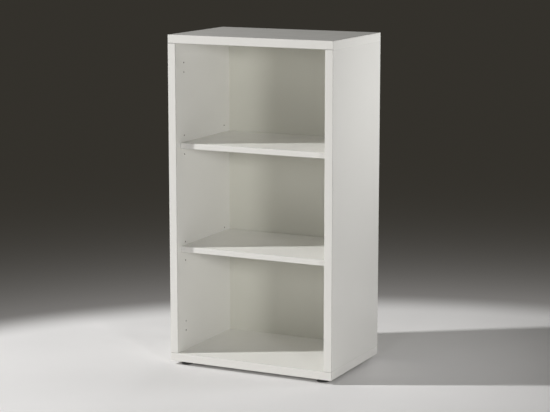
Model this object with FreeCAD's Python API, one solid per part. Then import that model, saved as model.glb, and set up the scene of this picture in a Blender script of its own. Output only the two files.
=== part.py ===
import FreeCAD, Part
import math
import os

# Open bookcase: a carcass of faced boards with edged fronts, two shelves, a thin back and four levelling feet.
# Frame: origin on the floor under the middle of the case, X to the right, Y to the back, Z up. Millimetres.

# Overall sizes
case_width = 600.0
case_depth = 390.0
case_height = 1112.0
foot_height = 13.0

# Boards and their edging strips
carcass_board = 28.0
shelf_board = 19.0
back_board = 3.0
edging = 2.0
edging_round = 1.5

# Back panel: rebate around the rear of the case, and the screws in it
rebate_width = 10.0
back_clearance = 0.5
back_screws_per_side = 5
back_screws_per_end = 3
back_screw_end_inset = 45.0
screw_shank_radius = 1.5
screw_head_radius = 2.8
screw_head_depth = 1.3
screw_length = 13.0
screw_clearance = 0.05

# Dowels in the corner joints
dowel_radius = 4.0
dowel_length = 35.0
dowel_in_flat_board = 14.0
dowel_row_inset = 45.0
dowel_rows = 3
dowel_clearance = 0.05
dowel_end_gap = 0.8
dowel_chamfer = 1.0

# Rows of holes in the side boards
hole_radius = 2.5
hole_depth = 12.0
hole_pitch = 32.0
front_row_from_shelf_front = 29.0
least_rear_margin = 32.0
shelf_group_offset = 182.5
hinge_group_offset = 443.5

# Shelves
shelf_set_back = 30.0
shelf_end_clearance = 1.0
shelf_rear_clearance = 1.5
loose_shelf_forward = 3.0

# Upper shelf: connector bolts in the sides, housings in the shelf
fitting_shank_clearance = 0.05
fitting_shank_length = 10.0
bolt_head_radius = 3.75
bolt_head_length = 9.0
housing_radius = 10.0
housing_centre_from_end = 8.0
housing_roof = 2.2
housing_clearance = 0.05
slot_clearance = 0.35
seat_clearance = 0.05

# Lower shelf: studs with a flat on top
stud_head_radius = 4.5
stud_head_length = 11.0
stud_flat_height = 2.5

# Levelling feet
foot_side_inset = 45.0
foot_front_inset = 35.0
pad_radius = 20.0
pad_top_radius = 15.0
pad_rim_height = 3.0
pad_edge_chamfer = 0.8
pad_gap = 0.3
pad_floor = 2.0
collar_height = 4.0
collar_across_flats = 17.0
spindle_radius = 5.0
spindle_chamfer = 0.8
spindle_in_sleeve = 22.0
pivot_radius = 3.6
pivot_head_radius = 4.8
pivot_head_height = 2.2
running_clearance = 0.05
sleeve_radius = 8.0
sleeve_length = 24.0
sleeve_clearance = 0.05
sleeve_end_gap = 0.8

# Planes worked out from the sizes above
x_right = case_width / 2
x_left = -x_right
y_front = -case_depth / 2
y_rear = case_depth / 2
z_under = foot_height
z_top = foot_height + case_height
z_floor_board = z_under + carcass_board
z_ceiling = z_top - carcass_board
z_middle = (z_floor_board + z_ceiling) / 2
x_inner = x_right - carcass_board
y_back_face = y_rear - back_board
y_shelf_front = y_front + shelf_set_back
y_shelf_rear = y_back_face - shelf_rear_clearance
front_row = y_shelf_front + front_row_from_shelf_front
row_steps = math.floor((y_shelf_rear - least_rear_margin - front_row) / hole_pitch)
rear_row = front_row + row_steps * hole_pitch
upper_group = z_middle + shelf_group_offset
lower_group = z_middle - shelf_group_offset
x_rebate = x_inner + rebate_width
side_hands = (("left", -1), ("right", 1))
row_ends = (("front", front_row), ("rear", rear_row))

X_AXIS = FreeCAD.Vector(1, 0, 0)
Y_AXIS = FreeCAD.Vector(0, 1, 0)
Z_AXIS = FreeCAD.Vector(0, 0, 1)


def point(x, y, z):
    return FreeCAD.Vector(x, y, z)


def block(low, high):
    """A rectangular block between two opposite corners, given in any order."""
    least = [min(a, b) for a, b in zip(low, high)]
    size = [abs(a - b) for a, b in zip(low, high)]
    return Part.makeBox(*size, point(*least))


def rod(start, direction, radius, length):
    """A round rod from a start point along a direction."""
    return Part.makeCylinder(radius, length, start, direction)


def turned(profile, centre):
    """A solid of revolution about the vertical line through centre, from (radius, height) points."""
    corners = [centre + point(radius, 0, height) for radius, height in profile]
    outline = Part.Face(Part.makePolygon(corners + corners[:1]))
    return outline.revolve(centre, Z_AXIS, 360)


def chamfered_rod(start, direction, radius, length, chamfer):
    """A round rod with both ends bevelled."""
    tip = radius - chamfer
    near = Part.makeCone(tip, radius, chamfer, start, direction)
    middle = rod(start + direction * chamfer, direction, radius, length - 2 * chamfer)
    far = Part.makeCone(radius, tip, chamfer, start + direction * (length - chamfer), direction)
    return near.fuse([middle, far]).removeSplitter()


def edging_strip(low, high, outward, around_ends=False, square_side=None):
    """A flat edging strip with its outer arrises rounded: the long ones, and with around_ends the short ones too.

    The arris on the square side, where the strip lies flush with the next board, stays sharp.
    """
    strip = block(low, high)
    outer_face = max(strip.Faces, key=lambda face: face.CenterOfMass.dot(outward))
    longest = max(edge.Length for edge in outer_face.Edges)
    arrises = [edge for edge in outer_face.Edges if around_ends or edge.Length > longest - edging_round]
    if square_side:
        arrises = sorted(arrises, key=lambda edge: edge.CenterOfMass.dot(square_side))[:-1]
    return strip.makeFillet(edging_round, arrises)


def save(name, *solids):
    shape = solids[0] if len(solids) == 1 else Part.makeCompound(list(solids))
    shape.exportStep("parts/" + name + ".step")


def spread(first, last, count):
    """Evenly spaced places from first to last."""
    step = (last - first) / (count - 1)
    return [first + step * index for index in range(count)]


def dowel_places():
    return spread(y_front + dowel_row_inset, y_rear - dowel_row_inset, dowel_rows)


def corner_joints():
    """Each corner joint: its name, the side's hand, the joint plane and the way from it into the flat board."""
    for hand, sign in side_hands:
        yield "top_" + hand, sign, z_ceiling, 1
        yield "bottom_" + hand, sign, z_floor_board, -1


def x_dowel(sign):
    return sign * (x_inner + carcass_board / 2)


def dowel_holes(sign, z_joint, way, in_flat_board):
    """The holes of one corner joint, on the flat board's side of the joint plane or on the upright's."""
    depth = dowel_in_flat_board if in_flat_board else dowel_length - dowel_in_flat_board
    direction = Z_AXIS * (way if in_flat_board else -way)
    radius = dowel_radius + dowel_clearance
    return [rod(point(x_dowel(sign), y, z_joint), direction, radius, depth + dowel_end_gap) for y in dowel_places()]


def shelf_holes(sign):
    """The drilled rows of one side board: threes for the shelves in both rows, pairs for hinge plates in front."""
    shelf_heights = [group + step * hole_pitch for group in (upper_group, lower_group) for step in (-1, 0, 1)]
    hinge_centres = (z_middle + hinge_group_offset, z_middle - hinge_group_offset)
    hinge_heights = [centre + step * hole_pitch for centre in hinge_centres for step in (-0.5, 0.5)]
    places = [(y, z) for name, y in row_ends for z in shelf_heights]
    places += [(front_row, z) for z in hinge_heights]
    return [rod(point(sign * x_inner, y, z), X_AXIS * sign, hole_radius, hole_depth) for y, z in places]


def back_screw_places():
    """Where the back panel's screws go, in the middle of the rebate all round."""
    x_line = x_inner + rebate_width / 2
    z_low = z_floor_board - rebate_width / 2
    z_high = z_ceiling + rebate_width / 2
    heights = spread(z_floor_board + back_screw_end_inset, z_ceiling - back_screw_end_inset, back_screws_per_side)
    across = spread(back_screw_end_inset - x_inner, x_inner - back_screw_end_inset, back_screws_per_end)
    return [(x, z) for z in heights for x in (-x_line, x_line)] + [(x, z) for x in across for z in (z_low, z_high)]


def back_screw(x, z, grow):
    """One countersunk screw, its head flush with the rear; grown a little it cuts its own hole."""
    head = Part.makeCone(screw_head_radius + grow, screw_shank_radius + grow, screw_head_depth,
                         point(x, y_rear, z), -Y_AXIS)
    return head.fuse(rod(point(x, y_rear, z), -Y_AXIS, screw_shank_radius + grow, screw_length + grow))


def back_screw_holes(on_board):
    """The screw holes that belong to one board, picked by a test on their place."""
    return [back_screw(x, z, screw_clearance) for x, z in back_screw_places() if on_board(x, z)]


def foot_places():
    """Each foot's name and the point of its axis on the floor."""
    for hand, sign in side_hands:
        x = sign * (x_right - foot_side_inset)
        yield "front_" + hand, point(x, y_front + foot_front_inset, 0)
        yield "rear_" + hand, point(x, y_rear - foot_front_inset, 0)


def flat_board(name, z_low, z_joint, way):
    """The top or bottom board: a core with the back's rebate, joint holes, and strips on its front and ends."""
    z_high = z_low + carcass_board
    core_end = x_right - edging
    y_core = y_front + edging
    core = block((-core_end, y_core, z_low), (core_end, y_rear, z_high))
    cuts = [block((-x_rebate, y_back_face, z_joint), (x_rebate, y_rear, z_joint + way * rebate_width))]
    for hand, sign in side_hands:
        cuts += dowel_holes(sign, z_joint, way, True)
    cuts += back_screw_holes(lambda x, z: (z - z_joint) * way > 0)
    if name == "bottom":
        cuts += [rod(foot + Z_AXIS * z_under, Z_AXIS, sleeve_radius + sleeve_clearance, sleeve_length + sleeve_end_gap)
                 for foot_name, foot in foot_places()]
    save(name + "_board", core.cut(cuts))
    save(name + "_front_edging",
         edging_strip((x_left, y_front, z_low), (x_right, y_core, z_high), -Y_AXIS, around_ends=True))
    for hand, sign in side_hands:
        save(name + "_" + hand + "_edging",
             edging_strip((sign * core_end, y_core, z_low), (sign * x_right, y_rear, z_high), X_AXIS * sign,
                          square_side=Z_AXIS * -way))


def side_board(hand, sign):
    """An upright between the flat boards, with the drilled rows on its inner face and a strip on its front."""
    y_core = y_front + edging
    core = block((sign * x_inner, y_core, z_floor_board), (sign * x_right, y_rear, z_ceiling))
    cuts = [block((sign * x_inner, y_back_face, z_floor_board), (sign * x_rebate, y_rear, z_ceiling))]
    cuts += shelf_holes(sign)
    for joint, joint_sign, z_joint, way in corner_joints():
        if joint_sign == sign:
            cuts += dowel_holes(sign, z_joint, way, False)
    cuts += back_screw_holes(lambda x, z: x * sign > x_inner)
    save(hand + "_side_board", core.cut(cuts))
    save(hand + "_side_front_edging",
         edging_strip((sign * x_inner, y_front, z_floor_board), (sign * x_right, y_core, z_ceiling), -Y_AXIS))


def back_panel():
    """The thin back in its rebate, and the screws that hold it."""
    x_edge = x_rebate - back_clearance
    reach = rebate_width - back_clearance
    panel = block((-x_edge, y_back_face, z_floor_board - reach), (x_edge, y_rear, z_ceiling + reach))
    save("back_panel", panel.cut(back_screw_holes(lambda x, z: True)))
    save("back_panel_screws", *[back_screw(x, z, 0) for x, z in back_screw_places()])


def corner_dowels():
    """Wooden dowels across each corner joint, one node to a joint."""
    for joint, sign, z_joint, way in corner_joints():
        starts = [point(x_dowel(sign), y, z_joint - way * (dowel_length - dowel_in_flat_board))
                  for y in dowel_places()]
        save(joint + "_joint_dowels",
             *[chamfered_rod(start, Z_AXIS * way, dowel_radius, dowel_length, dowel_chamfer) for start in starts])


def shelf(name, z_low, forward, cuts):
    """A shelf board with its front edging, some way forward of its place; cuts are what its fittings need."""
    x_end = x_inner - shelf_end_clearance
    z_high = z_low + shelf_board
    y_edge = y_shelf_front - forward
    y_core = y_edge + edging
    core = block((-x_end, y_core, z_low), (x_end, y_shelf_rear - forward, z_high))
    save(name + "_shelf", core.cut(cuts) if cuts else core)
    save(name + "_shelf_front_edging", edging_strip((-x_end, y_edge, z_low), (x_end, y_core, z_high), -Y_AXIS))


def fitting_shank(sign, y, z):
    """The part of a bolt or stud that sits in a hole of the side board."""
    return rod(point(sign * x_inner, y, z), X_AXIS * sign, hole_radius - fitting_shank_clearance, fitting_shank_length)


def upper_shelf():
    """The shelf that drops onto bolts: housings let into its underside, slotted from below over the bolt heads."""
    z_low = upper_group - shelf_board / 2
    x_end = x_inner - shelf_end_clearance
    seat = upper_group + bolt_head_radius + seat_clearance
    housing_height = seat + housing_roof - z_low
    cuts = []
    for hand, sign in side_hands:
        for end, y in row_ends:
            place = end + "_" + hand
            foot = point(sign * (x_end - housing_centre_from_end), y, z_low)
            half_slot = bolt_head_radius + slot_clearance
            slot_end = sign * (x_inner - bolt_head_length - slot_clearance)
            slot = block((slot_end, y - half_slot, z_low), (sign * x_inner, y + half_slot, seat))
            beyond_end = block((sign * x_end, y - housing_radius, z_low),
                               (sign * (x_end + housing_radius), y + housing_radius, z_low + housing_height))
            housing = rod(foot, Z_AXIS, housing_radius, housing_height).cut([beyond_end, slot])
            save("upper_shelf_" + place + "_housing", housing)
            cuts.append(rod(foot, Z_AXIS, housing_radius + housing_clearance, housing_height + housing_clearance))
            head = rod(point(sign * x_inner, y, upper_group), X_AXIS * -sign, bolt_head_radius, bolt_head_length)
            save("upper_shelf_" + place + "_bolt", head.fuse(fitting_shank(sign, y, upper_group)))
    shelf("upper", z_low, 0, cuts)


def lower_shelf():
    """The loose shelf, lying on flat-topped studs in the middle holes of its group, a little forward of the back."""
    for hand, sign in side_hands:
        for end, y in row_ends:
            head = rod(point(sign * x_inner, y, lower_group), X_AXIS * -sign, stud_head_radius, stud_head_length)
            above_flat = block((sign * x_inner, y - stud_head_radius, lower_group + stud_flat_height),
                               (sign * (x_inner - stud_head_length), y + stud_head_radius,
                                lower_group + stud_head_radius))
            stud = head.cut(above_flat).fuse(fitting_shank(sign, y, lower_group))
            save("lower_shelf_" + end + "_" + hand + "_stud", stud)
    shelf("lower", lower_group + stud_flat_height, loose_shelf_forward, [])


def foot_pad(foot):
    """The round pad: a flat sole, a sloping shoulder, and a socket that holds the spindle's pivot."""
    top = z_under - collar_height - pad_gap
    neck = pivot_radius + running_clearance
    socket = pivot_head_radius + running_clearance
    socket_top = pad_floor + pivot_head_height + pad_gap
    profile = [(0, 0), (pad_radius - pad_edge_chamfer, 0), (pad_radius, pad_edge_chamfer),
               (pad_radius, pad_rim_height), (pad_top_radius, top), (neck, top), (neck, socket_top),
               (socket, socket_top), (socket, pad_floor), (0, pad_floor)]
    return turned(profile, foot)


def foot_spindle(foot):
    """The spindle: a headed pivot in the pad, a hexagon collar to turn it by, and the screw in the sleeve."""
    collar_low = z_under - collar_height
    head_high = pad_floor + pivot_head_height
    screw_top = z_under + spindle_in_sleeve
    tip = spindle_radius - spindle_chamfer
    profile = [(0, pad_floor), (pivot_head_radius, pad_floor), (pivot_head_radius, head_high),
               (pivot_radius, head_high), (pivot_radius, collar_low), (spindle_radius, collar_low),
               (spindle_radius, screw_top - spindle_chamfer), (tip, screw_top), (0, screw_top)]
    corner_radius = collar_across_flats / math.sqrt(3)
    turns = [math.radians(60 * index) for index in range(7)]
    corners = [foot + point(corner_radius * math.cos(turn), corner_radius * math.sin(turn), collar_low)
               for turn in turns]
    collar = Part.Face(Part.makePolygon(corners)).extrude(Z_AXIS * collar_height)
    return turned(profile, foot).fuse(collar)


def foot_sleeve(foot):
    """The sleeve let into the bottom board, flush with its underside."""
    base = foot + Z_AXIS * z_under
    bore = rod(base, Z_AXIS, spindle_radius + running_clearance, sleeve_length)
    return rod(base, Z_AXIS, sleeve_radius, sleeve_length).cut(bore)


def levelling_feet():
    for place, foot in foot_places():
        save(place + "_foot_pad", foot_pad(foot))
        save(place + "_foot_spindle", foot_spindle(foot))
        save(place + "_foot_sleeve", foot_sleeve(foot))


os.makedirs("parts", exist_ok=True)
flat_board("top", z_ceiling, z_ceiling, 1)
flat_board("bottom", z_under, z_floor_board, -1)
for side_hand, side_sign in side_hands:
    side_board(side_hand, side_sign)
back_panel()
corner_dowels()
upper_shelf()
lower_shelf()
levelling_feet()
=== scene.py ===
import bmesh
import bpy
import math
from mathutils import Matrix, Vector


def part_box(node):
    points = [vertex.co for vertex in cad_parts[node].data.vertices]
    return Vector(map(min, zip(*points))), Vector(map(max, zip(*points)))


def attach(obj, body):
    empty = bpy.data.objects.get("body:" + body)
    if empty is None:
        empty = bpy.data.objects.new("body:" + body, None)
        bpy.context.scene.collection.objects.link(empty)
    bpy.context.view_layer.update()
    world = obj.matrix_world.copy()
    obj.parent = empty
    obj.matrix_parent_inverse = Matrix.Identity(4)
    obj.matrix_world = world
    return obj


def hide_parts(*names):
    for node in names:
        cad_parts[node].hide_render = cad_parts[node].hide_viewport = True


# Looks of an open white bookcase: faced boards, edging strips, thin back, shelf fittings and levelling feet.
# Metres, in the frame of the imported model: origin on the floor under the case, X right, Y to the back, Z up.

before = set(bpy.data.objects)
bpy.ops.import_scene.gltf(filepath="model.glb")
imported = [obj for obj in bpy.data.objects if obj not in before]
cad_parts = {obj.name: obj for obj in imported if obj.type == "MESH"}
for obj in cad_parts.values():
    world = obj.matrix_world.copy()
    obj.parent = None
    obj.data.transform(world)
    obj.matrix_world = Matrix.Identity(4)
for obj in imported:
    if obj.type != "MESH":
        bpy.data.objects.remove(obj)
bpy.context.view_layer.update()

# Colours, as they render under plain light
facing_white = (0.886, 0.878, 0.846, 1)
facing_shade = (0.858, 0.848, 0.810, 1)
edging_white = (0.800, 0.788, 0.755, 1)
edging_shade = (0.771, 0.758, 0.722, 1)
back_white = (0.748, 0.743, 0.672, 1)
back_shade = (0.722, 0.715, 0.638, 1)
glue_line_grey = (0.110, 0.102, 0.088, 1)
# Chipboard core colours, darkened far below real chipboard: painted shade for the holes and cuts
chip_light_painted_shade = (0.150, 0.098, 0.054, 1)
chip_dark_painted_shade = (0.045, 0.026, 0.014, 1)
zinc_light = (0.700, 0.710, 0.720, 1)
zinc_dull = (0.520, 0.520, 0.510, 1)
pad_black = (0.030, 0.030, 0.032, 1)
pad_scuff = (0.075, 0.074, 0.072, 1)
housing_white = (0.760, 0.755, 0.730, 1)
housing_shade = (0.700, 0.692, 0.660, 1)
sleeve_grey = (0.100, 0.100, 0.110, 1)
sleeve_shade = (0.070, 0.070, 0.078, 1)
beech_light = (0.680, 0.480, 0.290, 1)
beech_dark = (0.470, 0.300, 0.160, 1)
floor_pale = (0.850, 0.840, 0.835, 1)
# Grey of the paper's blotches, and the brightest painted glow at the rim of the floor's painted pool of light
blotch_and_painted_glow_grey = (0.178, 0.171, 0.163, 1)
backdrop_charcoal = (0.034, 0.031, 0.025, 1)
unlit_black = (0, 0, 0, 1)

# Depth of the relief on each finish
facing_relief = 0.00003
edging_relief = 0.00002
back_relief = 0.00003
zinc_relief = 0.000006
plastic_relief = 0.00003
beech_relief = 0.00005
floor_relief = 0.00003

# Sizes shared by the pieces made here
weld_distance = 1e-6
crease_angle = math.radians(32)
round_segments = 48
eased_arris = 0.0002
eased_arris_steps = 2
along_x, along_y, along_z = range(3)

# Boards, edging strips and back
facing_thickness = 0.00012
chips_per_metre = 420.0
chips_over_grain = 4
glue_line_width = 0.0011
glue_line_cover = 0.85
scrape_stretch = 0.012
knife_ripple_pitch = 0.004
knife_ripple_share = 0.15
screen_pitch = 0.0016
screen_over_peel = 2

# Levelling feet
thread_pitch = 0.0015
thread_crest = 0.0050
thread_root = 0.0041
thread_steps_per_turn = 12
spindle_tip_taper = 0.0012
pivot_head_radius = 0.0048
pivot_head_height = 0.0022
pivot_head_bevel = 0.0003
pivot_radius = 0.0036
collar_height = 0.0040
collar_across_flats = 0.0170
collar_corner_bevel = 0.0006
pad_rim_height = 0.0030
pad_rim_round = 0.0009
pad_shoulder_flare = 0.0006
pad_shoulder_drop = 0.0012
pad_top_radius = 0.0150
pad_top_round = 0.0010
pad_top_round_inset = 0.0008
pad_dish_width = 0.0018
pad_dish_depth = 0.0004
pad_neck_radius = 0.00365
pad_socket_radius = 0.00485
pad_socket_height = 0.0025
pad_socket_play = 0.00005
pad_sole_middle_radius = 0.004
pad_sole_recess_radius = 0.0145
pad_sole_ring_radius = 0.0155
pad_sole_recess = 0.0006
pad_flutes = 32
pad_flute_depth = 0.0004

# Shelf fittings
shank_radius = 0.00245
head_bevel = 0.0004
nose_round = 0.0006
bolt_head_length = 0.0090
bolt_head_radius = 0.00375
bolt_neck_length = 0.0008
bolt_thread_root = 0.0017
bolt_thread_pitch = 0.0016
bolt_tip_radius = 0.0012
bolt_tip_length = 0.0012
stud_head_length = 0.0110
stud_head_radius = 0.0045
stud_flat_height = 0.0025
stud_groove_from_nose = 0.0030
stud_groove_depth = 0.0003
stud_groove_mouth = 0.0012
stud_groove_floor = 0.0006
stud_tip_bevel = 0.0005
stud_tip_length = 0.0008

# Screws of the back, and the cross recess that they share with the bolts
screw_head_radius = 0.0028
screw_head_depth = 0.0013
screw_neck_length = 0.0004
screw_shank_radius = 0.0015
screw_thread_depth = 0.00035
screw_thread_pitch = 0.0011
screw_tip_radius = 0.0002
screw_tip_length = 0.0016
cross_arm = 0.0016
cross_width = 0.0007
cross_depth = 0.0010
cross_floor_share = 0.6

# Dowels
dowel_flutes = 16
dowel_flute_depth = 0.0003
dowel_chamfer = 0.0010

# Camera: the photograph's place, turn, tilt and focal length
photo_width_px = 550
photo_focal_px = 1757
film_width_mm = 36
camera_place = (2.5683, -5.2761, 1.5810)
camera_turn = 0.4529
camera_tilt = 0.1754

# Soft lamps: name, place, aim, size, spread in degrees, and watts
case_middle = (0.0, 0.0, 0.55)
right_side_high = (0.3, 0.1, 0.88)
lamps = (
    ("key_lamp", (-3.60, -2.05, 3.35), case_middle, 0.20, 180, 216),
    ("fill_lamp", (4.48, -4.09, 1.52), case_middle, 0.71, 180, 100),
    ("right_lamp", (1.30, 0.50, 1.15), right_side_high, 0.50, 120, 3.4),
    ("front_lamp", (0.6, -4.0, 1.65), case_middle, 0.80, 180, 18.5),
    ("rear_lamp", (-0.5, 3.6, 0.55), case_middle, 1.00, 180, 45),
)

# Floor: pale paper inside a painted pool of light, with painted shade and a fading painted glow beyond it
floor_radius = 30.0
floor_segments = 96
painted_pool_middle = (0.80, -1.04, 0.0)
painted_pool_reach = 2.01
painted_shade_reach = 2.34
painted_glow_fade = 1.6


class Wire:
    """A value that runs between nodes. Arithmetic on it adds Math nodes."""

    def __init__(self, finish, socket):
        self.finish = finish
        self.socket = socket

    def __add__(self, other):
        return self.finish.math("ADD", self, other)

    def __sub__(self, other):
        return self.finish.math("SUBTRACT", self, other)

    def __rsub__(self, other):
        return self.finish.math("SUBTRACT", other, self)

    def __mul__(self, other):
        return self.finish.math("MULTIPLY", self, other)

    def __truediv__(self, other):
        return self.finish.math("DIVIDE", self, other)

    __radd__ = __add__
    __rmul__ = __mul__

    def clamped(self):
        return self.finish.math("ADD", self, 0.0, use_clamp=True)

    def beside(self, output):
        """Another output of the node that this wire comes from."""
        return Wire(self.finish, self.socket.node.outputs[output])


class Finish:
    """The nodes of one material, or of the world, and the one method that adds to them."""

    def __init__(self, owner):
        self.owner = owner
        owner.use_nodes = True
        self.nodes = owner.node_tree.nodes
        self.links = owner.node_tree.links

    def node(self, kind, settings=None, inputs=None, output=0):
        """Adds a node: its settings first, then the values or wires of its inputs. Gives one output."""
        made = self.nodes.new("ShaderNode" + kind)
        for name, value in (settings or {}).items():
            setattr(made, name, value)
        for name, value in (inputs or {}).items():
            self.feed(made.inputs[name], value)
        return Wire(self, made.outputs[output])

    def feed(self, socket, value):
        if isinstance(value, Wire):
            self.links.new(value.socket, socket)
        else:
            socket.default_value = value

    def math(self, operation, first, second=0.0, use_clamp=False):
        return self.node("Math", {"operation": operation, "use_clamp": use_clamp}, {0: first, 1: second})

    def place(self):
        """Where a point of the piece is, in the piece's own frame."""
        return self.node("TexCoord", output="Object")

    def axes(self):
        x = self.node("SeparateXYZ", inputs={"Vector": self.place()})
        return x, x.beside("Y"), x.beside("Z")

    def noise(self, per_metre, detail=2.0, stretch=(1, 1, 1)):
        """Soft noise from 0 to 1, with so many features to the metre, times stretch along each axis."""
        stretched = self.node("VectorMath", {"operation": "MULTIPLY"}, {0: self.place(), 1: stretch})
        return self.node("TexNoise", inputs={"Vector": stretched, "Scale": per_metre, "Detail": detail})

    def mix(self, share, first, second):
        """A colour between two, by a share from 0 to 1."""
        return self.node("Mix", {"data_type": "RGBA"}, {0: share, 6: first, 7: second}, output=2)

    def bump(self, height, distance):
        return self.node("Bump", inputs={"Height": height, "Distance": distance})

    def surface(self, colour, roughness, normal, **others):
        """Feeds the material's own shader; the others are its further inputs, by name."""
        shader = self.nodes["Principled BSDF"]
        self.feed(shader.inputs["Base Color"], colour)
        self.feed(shader.inputs["Roughness"], roughness)
        self.feed(shader.inputs["Normal"], normal)
        for name, value in others.items():
            self.feed(shader.inputs[name.replace("_", " ").title().replace("Ior", "IOR")], value)
        return self.owner


def new_finish(name):
    return Finish(bpy.data.materials.new(name))


def depths_below_faces(finish, low, high):
    """How far a point lies below the nearer face of its board, along each axis."""
    return [finish.math("MINIMUM", along - start, end - along)
            for along, start, end in zip(finish.axes(), low, high)]


def near(depth):
    """1 at a face and for half a glue line below it, then falling to 0."""
    return (2 - depth * (2 / glue_line_width)).clamped()


def faced_board(node_name, edged_ends):
    """White melamine facing with a fine pearl grain, and the edging strips' glue lines along its arrises.

    Where the board is cut into, its chipboard core shows, in chip colours darkened far below real chipboard:
    painted shade in the holes and cuts.
    """
    finish = new_finish(node_name + "_facing")
    low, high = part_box(node_name)
    x_depth, y_depth, z_depth = depths_below_faces(finish, low, high)
    near_left_or_right = near(x_depth)
    near_front = near(finish.axes()[along_y] - low.y)
    near_top_or_bottom = near(z_depth)
    glue_lines = near_front * (near_left_or_right + near_top_or_bottom)
    if edged_ends:
        glue_lines += near_left_or_right * near_top_or_bottom
    below_surface = finish.math("MINIMUM", finish.math("MINIMUM", x_depth, y_depth), z_depth)
    core = finish.math("GREATER_THAN", below_surface, facing_thickness)
    drift = finish.noise(per_metre=3.5, detail=3)
    grain = finish.noise(per_metre=1300)
    smudge = finish.noise(per_metre=16, detail=4)
    white = finish.mix((0.7 * drift + 0.3 * grain).clamped(), facing_white, facing_shade)
    lined = finish.mix(glue_line_cover * glue_lines.clamped(), white, glue_line_grey)
    chip_inputs = {"Vector": finish.place(), "Scale": chips_per_metre}
    chips = finish.node("TexVoronoi", inputs=chip_inputs, output="Color")
    chip_tone = finish.node("SeparateXYZ", inputs={"Vector": chips})
    # The core's chips, in colours that carry painted shade for the holes
    chips_with_painted_shade = finish.mix(chip_tone, chip_dark_painted_shade, chip_light_painted_shade)
    colour = finish.mix(core, lined, chips_with_painted_shade)
    roughness = 0.20 + 0.08 * smudge + 0.55 * core
    relief = grain * (1 - core) + chips_over_grain * chip_tone * core
    return finish.surface(colour, roughness, finish.bump(relief, facing_relief))


def edging_strip(node_name, along, white=edging_white, shade=edging_shade):
    """White plastic edging, scraped along its length, with the faint ripple that the trimming knife leaves.

    A glue line marks where an end strip meets the front one, and where an upright strip meets the level ones.
    """
    finish = new_finish(node_name + "_finish")
    low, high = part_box(node_name)
    run = finish.axes()[along]
    stretch = [1.0, 1.0, 1.0]
    stretch[along] = scrape_stretch
    scrape = finish.noise(per_metre=1500, stretch=stretch)
    drift = finish.noise(per_metre=5)
    ripple = finish.math("SINE", run * (math.tau / knife_ripple_pitch))
    colour = finish.mix((0.6 * drift + 0.4 * scrape).clamped(), white, shade)
    if along != along_x:
        to_joint = run - low[along]
        if along == along_z:
            to_joint = finish.math("MINIMUM", to_joint, high[along] - run)
        colour = finish.mix(glue_line_cover * near(to_joint), colour, glue_line_grey)
    roughness = 0.34 + 0.12 * scrape
    relief = scrape + knife_ripple_share * ripple
    return finish.surface(colour, roughness, finish.bump(relief, edging_relief))


def lacquered_back(node_name):
    """Thin white lacquered board: smooth on the inside, with the pressed screen pattern on its rear face."""
    finish = new_finish(node_name + "_lacquer")
    low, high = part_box(node_name)
    x, y, z = finish.axes()
    rear = finish.math("GREATER_THAN", y, (low.y + high.y) / 2)
    drift = finish.noise(per_metre=4, detail=3)
    peel = finish.noise(per_metre=600)
    screen_step = math.tau / screen_pitch
    screen = finish.math("SINE", x * screen_step) * finish.math("SINE", z * screen_step)
    colour = finish.mix((0.8 * drift + 0.2 * peel).clamped(), back_white, back_shade)
    roughness = 0.46 + 0.10 * peel + 0.12 * rear
    relief = peel * (1 - rear) + screen_over_peel * screen * rear
    return finish.surface(colour, roughness, finish.bump(relief, back_relief))


def zinc_steel():
    """Bright zinc plating, duller in patches, with fine tool marks."""
    finish = new_finish("zinc_plating")
    patches = finish.noise(per_metre=260, detail=3)
    marks = finish.noise(per_metre=4000, detail=1, stretch=(1, 1, 0.3))
    colour = finish.mix(patches, zinc_light, zinc_dull)
    roughness = 0.24 + 0.16 * patches + 0.08 * marks
    return finish.surface(colour, roughness, finish.bump(marks, zinc_relief), metallic=1.0)


def moulded_plastic(name, main, worn, grain_per_metre, roughness):
    """Moulded plastic with a spark-eroded grain and a few scuffs."""
    finish = new_finish(name)
    scuffs = finish.noise(per_metre=220, detail=4)
    grain = finish.noise(grain_per_metre)
    colour = finish.mix((1.6 * scuffs - 0.5).clamped(), main, worn)
    return finish.surface(colour, roughness + 0.12 * scuffs, finish.bump(grain, plastic_relief))


def beech_wood():
    """Plain beech with its grain and short flecks along the dowel."""
    finish = new_finish("beech")
    grain = finish.noise(per_metre=900, detail=3, stretch=(1, 1, 0.06))
    flecks = finish.noise(per_metre=2600, detail=1, stretch=(1, 1, 0.15))
    colour = finish.mix((grain * 1.3 - 0.2 + 0.25 * flecks).clamped(), beech_light, beech_dark)
    roughness = 0.55 + 0.2 * flecks
    return finish.surface(colour, roughness, finish.bump(grain, beech_relief))


def ring(radius, height):
    """A level ring of points about the Z axis. Its radius is a length, or a function of the angle."""
    turns = [math.tau * index / round_segments for index in range(round_segments)]
    reaches = [radius(turn) if callable(radius) else radius for turn in turns]
    return [Vector((reach * math.cos(turn), reach * math.sin(turn), height))
            for reach, turn in zip(reaches, turns)]


def turned(profile):
    """The rings of a turned profile, given as radii and heights."""
    return [ring(radius, height) for radius, height in profile]


def arc(centre_radius, centre_height, radius, start, end, steps=5):
    """Points of a round from one angle to another, in degrees, for a turned profile."""
    angles = [math.radians(start + (end - start) * index / steps) for index in range(steps + 1)]
    return [(centre_radius + radius * math.cos(angle), centre_height + radius * math.sin(angle))
            for angle in angles]


def fluted(radius, flutes, depth):
    """The radius, at an angle, of a round piece with even flutes cut into it."""
    return lambda turn: radius - depth * max(0.0, math.cos(turn * flutes)) ** 2


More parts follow.
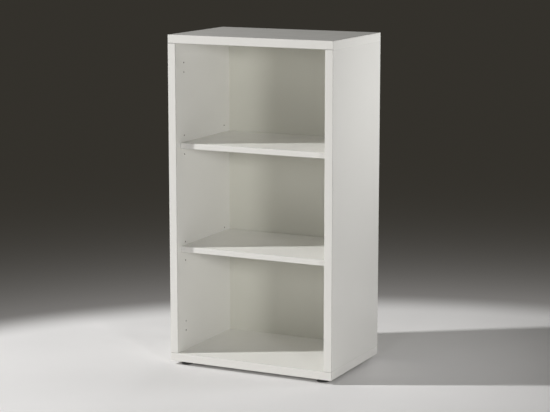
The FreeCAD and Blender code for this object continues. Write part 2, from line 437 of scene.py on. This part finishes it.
def thread_rings(low, high, crest, root, pitch):
    """Rings up a right-hand thread with a run-out at both ends.

    The root, the crest and each flank take a quarter of the pitch.
    """
    count = max(2, round((high - low) / pitch * thread_steps_per_turn))
    rings = []
    for index in range(count + 1):
        height = low + (high - low) * index / count
        run_out = min(1.0, (height - low) / pitch, (high - height) / pitch)

        def thread_radius(turn):
            phase = (height / pitch - turn / math.tau) % 1.0
            rise = min(1.0, max(0.0, 4 * abs(phase - 0.5) - 0.5))
            return root + (crest - root) * rise * run_out

        rings.append(ring(thread_radius, height))
    return rings


def skin(mesh, rings, place, close_top=True):
    """Joins rings with four-sided faces and closes the ends. Gives the last ring's corners."""
    loops = [[mesh.verts.new(place @ point) for point in points] for points in rings]
    for below, above in zip(loops, loops[1:]):
        for index, corner in enumerate(below):
            after = (index + 1) % len(below)
            mesh.faces.new((corner, below[after], above[after], above[index]))
    mesh.faces.new(list(reversed(loops[0])))
    if close_top:
        mesh.faces.new(loops[-1])
    return loops[-1]


def cross_recess(mesh, rim, height, place):
    """Closes the flat end of a head with a tapered cross recess for a driver."""
    half = cross_width / 2
    quarter = [(half, half), (half, cross_arm), (-half, cross_arm)]
    outline = []
    for turn in range(4):
        spin = Matrix.Rotation(turn * math.pi / 2, 4, "Z")
        outline += [spin @ Vector((x, y, height)) for x, y in quarter]
    mouth = [mesh.verts.new(place @ point) for point in outline]
    floor_points = [Vector((point.x * cross_floor_share, point.y * cross_floor_share, height - cross_depth))
                    for point in outline]
    floor = [mesh.verts.new(place @ point) for point in floor_points]
    edges = []
    for loop in (rim, mouth):
        for corner, after in zip(loop, loop[1:] + loop[:1]):
            found = mesh.edges.get((corner, after))
            edges.append(found or mesh.edges.new((corner, after)))
    bmesh.ops.triangle_fill(mesh, use_beauty=True, edges=edges)
    for index, corner in enumerate(mouth):
        after = (index + 1) % len(mouth)
        mesh.faces.new((corner, mouth[after], floor[after], floor[index]))
    mesh.faces.new(floor)


def add_piece(name, mesh, finish, body, slot, *stands_for):
    """Turns a mesh into a named piece that rides on a body and stands for its nodes."""
    bmesh.ops.remove_doubles(mesh, verts=mesh.verts, dist=weld_distance)
    bmesh.ops.recalc_face_normals(mesh, faces=mesh.faces)
    for face in mesh.faces:
        face.smooth = True
    for edge in mesh.edges:
        edge.smooth = len(edge.link_faces) == 2 and edge.calc_face_angle() < crease_angle
    data = bpy.data.meshes.new(name)
    mesh.to_mesh(data)
    mesh.free()
    data.materials.append(finish)
    piece = bpy.data.objects.new(name, data)
    bpy.context.scene.collection.objects.link(piece)
    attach(piece, body)
    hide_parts(*stands_for)


def solids_in(node_name):
    """The box of each separate solid in a node, in a settled order."""
    mesh = bmesh.new()
    mesh.from_mesh(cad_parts[node_name].data)
    bmesh.ops.remove_doubles(mesh, verts=mesh.verts, dist=weld_distance)
    seen = set()
    boxes = []
    for start in mesh.verts:
        if start in seen:
            continue
        seen.add(start)
        group = [start]
        for corner in group:
            for edge in corner.link_edges:
                other = edge.other_vert(corner)
                if other not in seen:
                    seen.add(other)
                    group.append(other)
        low = Vector([min(corner.co[axis] for corner in group) for axis in range(3)])
        high = Vector([max(corner.co[axis] for corner in group) for axis in range(3)])
        boxes.append((low, high))
    mesh.free()
    return sorted(boxes, key=lambda box: tuple(round(value, 5) for value in box[0]))


def middle(low, high):
    return (low + high) / 2


def threaded_spindle(place_name, finish):
    """Levelling spindle: a headed pivot, a hexagon collar with bevelled corners, and the thread."""
    node = place_name + "_foot_spindle"
    low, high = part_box(node)
    centre = middle(low, high)
    head_high = low.z + pivot_head_height
    collar_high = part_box("bottom_board")[0].z
    collar_low = collar_high - collar_height
    sixth = math.pi / 3
    flat = collar_across_flats / 2
    corner = flat / math.cos(sixth / 2)

    def hexagon(limit):
        return lambda turn: min(limit, flat / math.cos((turn + sixth / 2) % sixth - sixth / 2))

    rings = turned([
        (pivot_head_radius - pivot_head_bevel, low.z),
        (pivot_head_radius, low.z + pivot_head_bevel),
        (pivot_head_radius, head_high),
        (pivot_radius, head_high),
        (pivot_radius, collar_low),
        (hexagon(flat), collar_low),
        (hexagon(corner), collar_low + collar_corner_bevel),
        (hexagon(corner), collar_high - collar_corner_bevel),
        (hexagon(flat), collar_high),
        (thread_root, collar_high),
    ])
    rings += thread_rings(collar_high, high.z - spindle_tip_taper, thread_crest, thread_root, thread_pitch)
    rings += turned([(thread_root - spindle_tip_taper, high.z)])
    mesh = bmesh.new()
    skin(mesh, rings, Matrix.Translation((centre.x, centre.y, 0)))
    add_piece(place_name + "_threaded_spindle", mesh, finish, place_name + "_spindle", "zinc_steel", node)


def levelling_pad(place_name, finish):
    """Moulded pad: fluted rim, sloping shoulder, dished top, socket for the pivot and relieved sole."""
    node = place_name + "_foot_pad"
    low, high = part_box(node)
    centre = middle(low, high)
    rim_middle = (high.x - low.x) / 2 - pad_rim_round
    dish_radius = pad_neck_radius + pad_dish_width
    dish_floor = high.z - pad_dish_depth
    socket_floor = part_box(place_name + "_foot_spindle")[0].z - pad_socket_play
    socket_high = socket_floor + pad_socket_height
    sole = [
        (pad_sole_middle_radius, low.z + pad_sole_recess),
        (pad_sole_recess_radius, low.z + pad_sole_recess),
        (pad_sole_ring_radius, low.z),
        (rim_middle, low.z),
    ]
    rim = arc(rim_middle, low.z + pad_rim_round, pad_rim_round, start=-60, end=0, steps=3)
    rim += arc(rim_middle, low.z + pad_rim_height - pad_rim_round, pad_rim_round, start=0, end=60, steps=3)
    shoulder = [(pad_top_radius + pad_shoulder_flare, high.z - pad_shoulder_drop)]
    shoulder += arc(pad_top_radius - pad_top_round_inset, high.z - pad_top_round, pad_top_round,
                    start=40, end=90, steps=3)
    socket = [
        (dish_radius + pad_dish_depth, high.z),
        (dish_radius, dish_floor),
        (pad_neck_radius, dish_floor),
        (pad_neck_radius, socket_high),
        (pad_socket_radius, socket_high),
        (pad_socket_radius, socket_floor),
    ]
    fluted_rim = [(fluted(radius, pad_flutes, pad_flute_depth), height) for radius, height in rim]
    mesh = bmesh.new()
    skin(mesh, turned(sole + fluted_rim + shoulder + socket), Matrix.Translation((centre.x, centre.y, 0)))
    add_piece(place_name + "_levelling_pad", mesh, finish, place_name + "_foot", "black_plastic", node)


def into_case(low, high, axis_height):
    """A frame at the hidden end of a fitting in a side board: its Z points into the case, its Y up."""
    inward = -1 if low.x > 0 else 1
    hidden_end = (low.x if inward > 0 else high.x, middle(low, high).y, axis_height)
    turn = Matrix(((0, 0, inward), (inward, 0, 0), (0, 1, 0))).to_4x4()
    return Matrix.Translation(hidden_end) @ turn


def connector_bolt(node, finish):
    """Connector bolt in a side board: threaded shank, round head with a cross recess facing into the case."""
    low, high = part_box(node)
    length = high.x - low.x
    shank = length - bolt_head_length
    place = into_case(low, high, middle(low, high).z)
    rings = turned([(bolt_tip_radius, 0.0)])
    rings += thread_rings(bolt_tip_length, shank - bolt_neck_length,
                          shank_radius, bolt_thread_root, bolt_thread_pitch)
    rings += turned([
        (bolt_thread_root, shank),
        (bolt_head_radius - head_bevel, shank),
        (bolt_head_radius, shank + head_bevel),
    ])
    rings += turned(arc(bolt_head_radius - nose_round, length - nose_round, nose_round, start=0, end=90))
    mesh = bmesh.new()
    rim = skin(mesh, rings, place, close_top=False)
    cross_recess(mesh, rim, length, place)
    add_piece(node + "_cross_head", mesh, finish, "carcass", "zinc_steel", node)


def shelf_stud(node, finish):
    """Push-in stud with a flat top that the shelf lies on, a groove behind its nose and a plain shank."""
    low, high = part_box(node)
    length = high.x - low.x
    shank = length - stud_head_length
    groove = length - stud_groove_from_nose
    groove_radius = stud_head_radius - stud_groove_depth

    def flat_topped(radius, height):
        flat = stud_flat_height - (stud_head_radius - radius)
        return [Vector((point.x, min(point.y, flat), point.z)) for point in ring(radius, height)]

    head = [
        (stud_head_radius - head_bevel, shank),
        (stud_head_radius, shank + head_bevel),
        (stud_head_radius, groove - stud_groove_mouth / 2),
        (groove_radius, groove - stud_groove_floor / 2),
        (groove_radius, groove + stud_groove_floor / 2),
        (stud_head_radius, groove + stud_groove_mouth / 2),
    ]
    head += arc(stud_head_radius - nose_round, length - nose_round, nose_round, start=0, end=90)
    rings = turned([
        (shank_radius - stud_tip_bevel, 0.0),
        (shank_radius, stud_tip_length),
        (shank_radius, shank),
    ])
    rings += [flat_topped(radius, height) for radius, height in head]
    mesh = bmesh.new()
    skin(mesh, rings, into_case(low, high, low.z + stud_head_radius))
    add_piece(node + "_turned", mesh, finish, "carcass", "zinc_steel", node)


def back_screws(node, finish):
    """Countersunk screws of the back panel, flush with its rear, with cross recesses and cut threads."""
    facing_rear = Matrix(((1, 0, 0), (0, 0, 1), (0, -1, 0))).to_4x4()
    root = screw_shank_radius - screw_thread_depth
    mesh = bmesh.new()
    for low, high in solids_in(node):
        centre = middle(low, high)
        length = high.y - low.y
        neck = length - screw_head_depth
        place = Matrix.Translation((centre.x, low.y, centre.z)) @ facing_rear
        rings = turned([(screw_tip_radius, 0.0)])
        rings += thread_rings(screw_tip_length, neck - screw_neck_length,
                              screw_shank_radius, root, screw_thread_pitch)
        rings += turned([(screw_shank_radius, neck), (screw_head_radius, length)])
        rim = skin(mesh, rings, place, close_top=False)
        cross_recess(mesh, rim, length, place)
    add_piece("back_panel_cross_screws", mesh, finish, "carcass", "zinc_steel", node)


def fluted_dowels(node, finish):
    """Beech dowels of one corner joint, fluted along their length and bevelled at both ends."""
    mesh = bmesh.new()
    for low, high in solids_in(node):
        centre = middle(low, high)
        radius = (high.x - low.x) / 2
        body = fluted(radius, dowel_flutes, dowel_flute_depth)
        tip = fluted(radius - dowel_chamfer, dowel_flutes, dowel_flute_depth)
        rings = turned([
            (tip, low.z),
            (body, low.z + dowel_chamfer),
            (body, high.z - dowel_chamfer),
            (tip, high.z),
        ])
        skin(mesh, rings, Matrix.Translation((centre.x, centre.y, 0)))
    add_piece(node + "_fluted", mesh, finish, "carcass", "beech_dowel", node)


def dress(node_name, finish, eased=False):
    """Gives a node its finish and, where asked, lightly eased arrises."""
    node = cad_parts[node_name]
    node.material_slots[0].material = finish
    if eased:
        weld = node.modifiers.new("weld", "WELD")
        weld.merge_threshold = weld_distance
        bevel = node.modifiers.new("eased_arris", "BEVEL")
        bevel.width = eased_arris
        bevel.segments = eased_arris_steps
        bevel.limit_method = "ANGLE"
        bevel.angle_limit = crease_angle


def studio_floor():
    """A pale floor inside a painted pool of light. Beyond the pool the floor is painted black, as painted
    shade, and gives off a painted glow that fades to the charcoal backdrop all round. It is clear from below.
    """
    finish = new_finish("pale_floor")
    x, y = finish.axes()[:2]
    reach = finish.math("SQRT", x * x + y * y)
    # Share of the painted fade from the pale pool to painted shade, by distance from the pool's middle
    painted_falloff = ((reach - painted_pool_reach) / (painted_shade_reach - painted_pool_reach)).clamped()
    eased_painted_falloff = painted_falloff * painted_falloff * (3 - 2 * painted_falloff)
    fibres = finish.noise(per_metre=700, detail=3)
    blotches = finish.noise(per_metre=2.5, detail=3)
    paper = finish.mix(0.08 * blotches + 0.04 * fibres, floor_pale, blotch_and_painted_glow_grey)
    # Painted glow, brightest at the pool's rim and dimming outward: a painted falloff of light
    painted_glow_falloff = finish.math("EXPONENT", (painted_shade_reach - reach) * painted_glow_fade).clamped()
    backdrop = finish.mix(painted_glow_falloff, backdrop_charcoal, blotch_and_painted_glow_grey)
    colour = finish.mix(eased_painted_falloff, paper, unlit_black)
    roughness = 0.75 + 0.1 * fibres
    glow = finish.mix(eased_painted_falloff, unlit_black, backdrop)
    # Beyond the pool the floor emits the painted glow, light that no lamp gives
    finish.surface(colour, roughness, finish.bump(fibres, floor_relief),
                   specular_ior_level=0.0, emission_strength=1.0, emission_color=glow)
    sheet = Wire(finish, finish.nodes["Principled BSDF"].outputs[0])
    below = finish.node("NewGeometry", output="Backfacing")
    shown = finish.node("MixShader", inputs={0: below, 1: sheet, 2: finish.node("BsdfTransparent")})
    finish.feed(finish.nodes["Material Output"].inputs["Surface"], shown)
    mesh = bmesh.new()
    bmesh.ops.create_circle(mesh, cap_ends=True, radius=floor_radius, segments=floor_segments)
    data = bpy.data.meshes.new("studio_floor")
    mesh.to_mesh(data)
    mesh.free()
    data.materials.append(finish.owner)
    floor = bpy.data.objects.new("studio_floor", data)
    floor.location = painted_pool_middle
    bpy.context.scene.collection.objects.link(floor)


def studio_air():
    """The charcoal backdrop, above the floor and all round."""
    world = bpy.data.worlds.new("studio_air")
    bpy.context.scene.world = world
    air = Finish(world)
    air.feed(air.nodes["Background"].inputs["Color"], backdrop_charcoal)


def studio_lamp(name, place, aim, size, spread, watts):
    """A square soft lamp that neither the camera nor a polished face sees."""
    light = bpy.data.lights.new(name, "AREA")
    light.shape = "SQUARE"
    light.size = size
    light.spread = math.radians(spread)
    light.energy = watts
    lamp = bpy.data.objects.new(name, light)
    lamp.location = place
    lamp.rotation_euler = (Vector(aim) - Vector(place)).to_track_quat("-Z", "Y").to_euler()
    lamp.visible_camera = False
    lamp.visible_glossy = False
    bpy.context.scene.collection.objects.link(lamp)


def photograph_camera():
    """A camera with the photograph's view of the case."""
    data = bpy.data.cameras.new("photograph_camera")
    data.sensor_width = film_width_mm
    data.lens = photo_focal_px / photo_width_px * film_width_mm
    camera = bpy.data.objects.new("photograph_camera", data)
    camera.location = camera_place
    camera.rotation_euler = (math.pi / 2 - camera_tilt, 0, camera_turn)
    bpy.context.scene.collection.objects.link(camera)
    bpy.context.scene.camera = camera


case_corners = ("top_left", "top_right", "bottom_left", "bottom_right")
plan_corners = ("front_left", "front_right", "rear_left", "rear_right")

for board in ("top_board", "bottom_board"):
    dress(board, faced_board(board, edged_ends=True), eased=True)
for board in ("left_side_board", "right_side_board"):
    dress(board, faced_board(board, edged_ends=False))
for board in ("upper_shelf", "lower_shelf"):
    dress(board, faced_board(board, edged_ends=False), eased=True)
for strip in ("top_front", "bottom_front", "upper_shelf_front", "lower_shelf_front"):
    dress(strip + "_edging", edging_strip(strip + "_edging", along_x))
for strip in case_corners:
    dress(strip + "_edging", edging_strip(strip + "_edging", along_y, facing_white, facing_shade))
for strip in ("left_side_front", "right_side_front"):
    dress(strip + "_edging", edging_strip(strip + "_edging", along_z))
dress("back_panel", lacquered_back("back_panel"))

zinc = zinc_steel()
black_pad = moulded_plastic("black_pad_plastic", pad_black, pad_scuff, grain_per_metre=2200, roughness=0.42)
white_housing = moulded_plastic("white_housing_plastic", housing_white, housing_shade,
                                grain_per_metre=2600, roughness=0.36)
dark_sleeve = moulded_plastic("dark_sleeve_plastic", sleeve_grey, sleeve_shade,
                              grain_per_metre=2400, roughness=0.40)
beech = beech_wood()

for corner_name in plan_corners:
    threaded_spindle(corner_name, zinc)
    levelling_pad(corner_name, black_pad)
    dress(corner_name + "_foot_sleeve", dark_sleeve)
    connector_bolt("upper_shelf_" + corner_name + "_bolt", zinc)
    dress("upper_shelf_" + corner_name + "_housing", white_housing, eased=True)
    shelf_stud("lower_shelf_" + corner_name + "_stud", zinc)
for joint in case_corners:
    fluted_dowels(joint + "_joint_dowels", beech)
back_screws("back_panel_screws", zinc)

studio_floor()
studio_air()
for lamp in lamps:
    studio_lamp(*lamp)
photograph_camera()
bpy.context.scene.view_settings.view_transform = "Standard"
